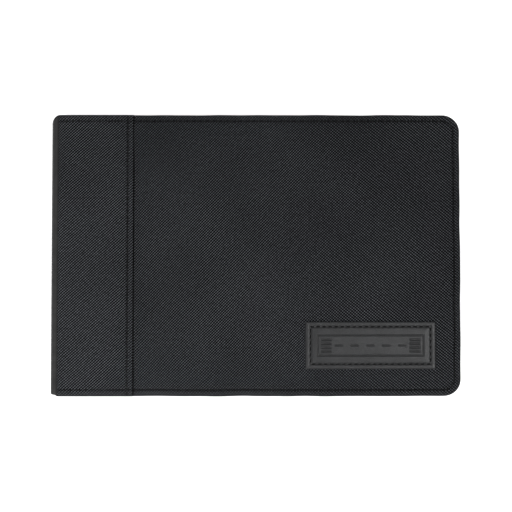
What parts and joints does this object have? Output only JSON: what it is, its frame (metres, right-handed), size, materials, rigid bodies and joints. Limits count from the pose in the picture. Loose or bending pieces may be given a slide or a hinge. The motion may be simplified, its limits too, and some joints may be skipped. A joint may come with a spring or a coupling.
{
  "type": "pilot logbook",
  "caption": "Landscape ring-bound pilot logbook: stiff twill cover with lapped, stitched spine wrap and leather patch, lever ring mechanism, punched log sheets, dividers and inside pockets.",
  "frame": {"origin": "centre of the closed book's footprint, on the surface its back cover lies on", "axes": "+Z out of the front cover, +X from the spine to the fore-edge, +Y from the tail to the head"},
  "size_m": [0.238, 0.164, 0.033],
  "materials": {
    "twill": "woven matt",
    "twill_band": "woven matt",
    "spine_twill": "smooth matt",
    "patch_leather": "fine grain, slightly glossy",
    "board": "grey board",
    "lining": "plain matt",
    "pocket": "plain matt",
    "plated_steel": "nickel plated",
    "ring_wire": "nickel plated, polished",
    "paper": "matt",
    "title_paper": "matt",
    "divider_card": "matt"
  },
  "bodies": {
    "back_cover": {"back_cover_fabric": "twill", "back_wrap_band": "twill_band", "back_board": "board", "back_lining": "lining", "back_document_pocket": "pocket", "ring_base_plate": "plated_steel", "ring_rivets": "plated_steel", "tail_lever_pin": "ring_wire", "head_lever_pin": "ring_wire", "log_sheets_back": "paper", "divider_back": "divider_card", "log_sheets_middle": "paper"},
    "spine": {"spine_wrap": "spine_twill", "spine_board": "board", "spine_lining": "lining", "back_spine_fold": "spine_twill", "front_spine_fold": "spine_twill"},
    "front_cover": {"front_cover_fabric": "twill", "front_wrap_band": "twill_band", "front_board": "board", "front_lining": "lining", "front_document_pocket": "pocket", "licence_card_pocket": "pocket", "leather_patch": "patch_leather"},
    "turned_pages": {"divider_front": "divider_card", "log_sheets_front": "paper", "title_sheet": "title_paper"},
    "left_leaf": {"left_leaf": "plated_steel", "left_ring_half_tail": "ring_wire", "left_ring_half_head": "ring_wire"},
    "right_leaf": {"right_leaf": "plated_steel", "right_ring_half_tail": "ring_wire", "right_ring_half_head": "ring_wire"},
    "tail_lever": {"tail_lever": "plated_steel"},
    "head_lever": {"head_lever": "plated_steel"}
  },
  "joints": [
    {"name": "spine_hinge", "type": "hinge", "parent": "back_cover", "child": "spine", "pos_m": [-0.1152, 0, 0.0038], "axis": [0, -1, 0], "range_deg": [0, 90], "deforming": ["back_spine_fold"]},
    {"name": "front_cover_hinge", "type": "hinge", "parent": "spine", "child": "front_cover", "pos_m": [-0.1152, 0, 0.0287], "axis": [0, -1, 0], "range_deg": [0, 90], "deforming": ["front_spine_fold"]},
    {"name": "page_turn", "type": "hinge", "parent": "back_cover", "child": "turned_pages", "pos_m": [-0.1005, 0, 0.0147], "axis": [0, -1, 0], "range_deg": [0, 180]},
    {"name": "ring_opening", "type": "hinge", "parent": "back_cover", "child": "left_leaf", "pos_m": [-0.1085, 0, 0.0054], "axis": [0, -1, 0], "range_deg": [0, 8]},
    {"name": "right_leaf_hinge", "type": "hinge", "parent": "back_cover", "child": "right_leaf", "pos_m": [-0.0925, 0, 0.0054], "axis": [0, 1, 0], "range_deg": [0, 8]},
    {"name": "tail_lever_pivot", "type": "hinge", "parent": "back_cover", "child": "tail_lever", "pos_m": [-0.1005, -0.077, 0.0056], "axis": [1, 0, 0], "range_deg": [0, 14]},
    {"name": "head_lever_pivot", "type": "hinge", "parent": "back_cover", "child": "head_lever", "pos_m": [-0.1005, 0.077, 0.0056], "axis": [-1, 0, 0], "range_deg": [0, 14]}
  ],
  "couplings": [
    {"joint": "front_cover_hinge", "follows": "spine_hinge", "ratio": 1},
    {"joint": "page_turn", "follows": "spine_hinge", "ratio": 2},
    {"joint": "right_leaf_hinge", "follows": "ring_opening", "ratio": 1},
    {"joint": "tail_lever_pivot", "follows": "ring_opening", "ratio": 1.75},
    {"joint": "head_lever_pivot", "follows": "ring_opening", "ratio": 1.75}
  ]
}
